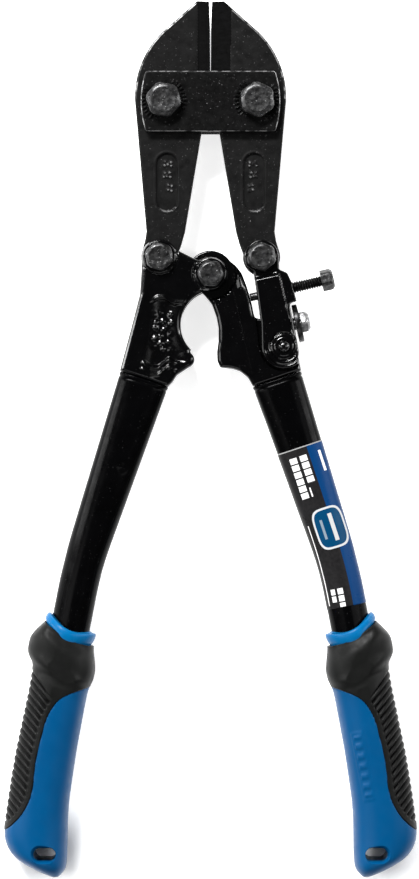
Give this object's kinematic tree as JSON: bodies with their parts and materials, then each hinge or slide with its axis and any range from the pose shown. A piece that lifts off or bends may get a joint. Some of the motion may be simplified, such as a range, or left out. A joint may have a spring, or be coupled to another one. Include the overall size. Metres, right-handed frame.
{
  "type": "bolt cutters",
  "caption": "Compact compound-leverage bolt cutters with strapped jaws, adjusting link, bent tube handles and two-tone grips.",
  "frame": {"origin": "under the middle of the tool's outline, on the surface it lies on", "axes": "+Y from the grips to the jaw tips, +Z out of the front face, +X to the adjusting screw's side"},
  "size_m": [0.1652, 0.3496, 0.0264],
  "materials": {
    "forged_steel": "matte black-oxide forging, ground bevels",
    "strap_steel": "satin black plate",
    "bolt_steel": "plain zinc-grey hardware",
    "gloss_paint": "gloss black paint",
    "dark_rivet": "blackened steel",
    "tube_paint": "satin black paint",
    "grip_blue": "smooth moulded blue plastic",
    "grip_black": "matte black rubber with slanted ribs",
    "collar_blue": "bright blue plastic ring",
    "label_film": null
  },
  "bodies": {
    "strap": {"strap_front": "strap_steel", "strap_back": "strap_steel", "jaw_bolt_left": "bolt_steel", "jaw_bolt_right": "bolt_steel", "jaw_nut_left": "bolt_steel", "jaw_nut_right": "bolt_steel"},
    "jaw_left": {"jaw_left": "forged_steel"},
    "jaw_right": {"jaw_right": "forged_steel"},
    "handle_left": {"left_head_front": "gloss_paint", "left_head_back": "gloss_paint", "left_head_core": "gloss_paint", "pivot_bolt_left": "bolt_steel", "pivot_nut_left": "bolt_steel", "centre_bolt": "bolt_steel", "centre_nut": "bolt_steel", "tube_left": "tube_paint", "grip_core_left": "grip_blue", "grip_cover_left": "grip_black", "grip_collar_left": "collar_blue"},
    "link": {"adjusting_link": "gloss_paint", "pivot_bolt_right": "bolt_steel", "pivot_nut_right": "bolt_steel", "link_rivet": "dark_rivet"},
    "handle_right": {"right_head": "gloss_paint", "tube_right": "tube_paint", "grip_core_right": "grip_blue", "grip_cover_right": "grip_black", "grip_collar_right": "collar_blue", "tube_label": "label_film", "lock_washer": "bolt_steel"},
    "adjusting_screw": {"adjusting_screw": "bolt_steel"},
    "lock_bolt": {"lock_bolt": "bolt_steel"}
  },
  "joints": [
    {"name": "jaw_left_hinge", "type": "hinge", "parent": "strap", "child": "jaw_left", "pos_m": [-0.0186, 0.1349, 0.013], "axis": [0, 0, 1], "range_deg": [-0.4, 5.26]},
    {"name": "handle_left_hinge", "type": "hinge", "parent": "jaw_left", "child": "handle_left", "pos_m": [-0.0204, 0.0726, 0.013], "axis": [0, 0, 1], "range_deg": [-35.25, 2.68]},
    {"name": "jaw_right_hinge", "type": "hinge", "parent": "strap", "child": "jaw_right", "pos_m": [0.0186, 0.1349, 0.013], "axis": [0, 0, 1], "range_deg": [-5.26, 0.4]},
    {"name": "link_hinge", "type": "hinge", "parent": "jaw_right", "child": "link", "pos_m": [0.0204, 0.0726, 0.013], "axis": [0, 0, 1], "range_deg": [-2.69, 35.26]},
    {"name": "blade_adjust_tilt", "type": "hinge", "parent": "link", "child": "handle_right", "pos_m": [0.0292, 0.0368, 0.013], "axis": [0, 0, 1], "range_deg": [-1, 1]},
    {"name": "adjusting_screw_travel", "type": "slide", "parent": "link", "child": "adjusting_screw", "axis": [0.9748, 0.2233, 0], "range_m": [-0.0004, 0.0004]},
    {"name": "lock_bolt_turn", "type": "hinge", "parent": "handle_right", "child": "lock_bolt", "pos_m": [0.0333, 0.0459, 0.013], "axis": [0.9748, 0.2233, 0], "range_deg": [0, 180]}
  ],
  "couplings": [
    {"joint": "jaw_left_hinge", "follows": "handle_left_hinge", "ratio": -0.14894},
    {"joint": "jaw_right_hinge", "follows": "handle_left_hinge", "ratio": 0.14894},
    {"joint": "link_hinge", "follows": "handle_left_hinge", "ratio": -1},
    {"joint": "adjusting_screw_travel", "follows": "blade_adjust_tilt", "m_per_rad": -0.02233}
  ]
}
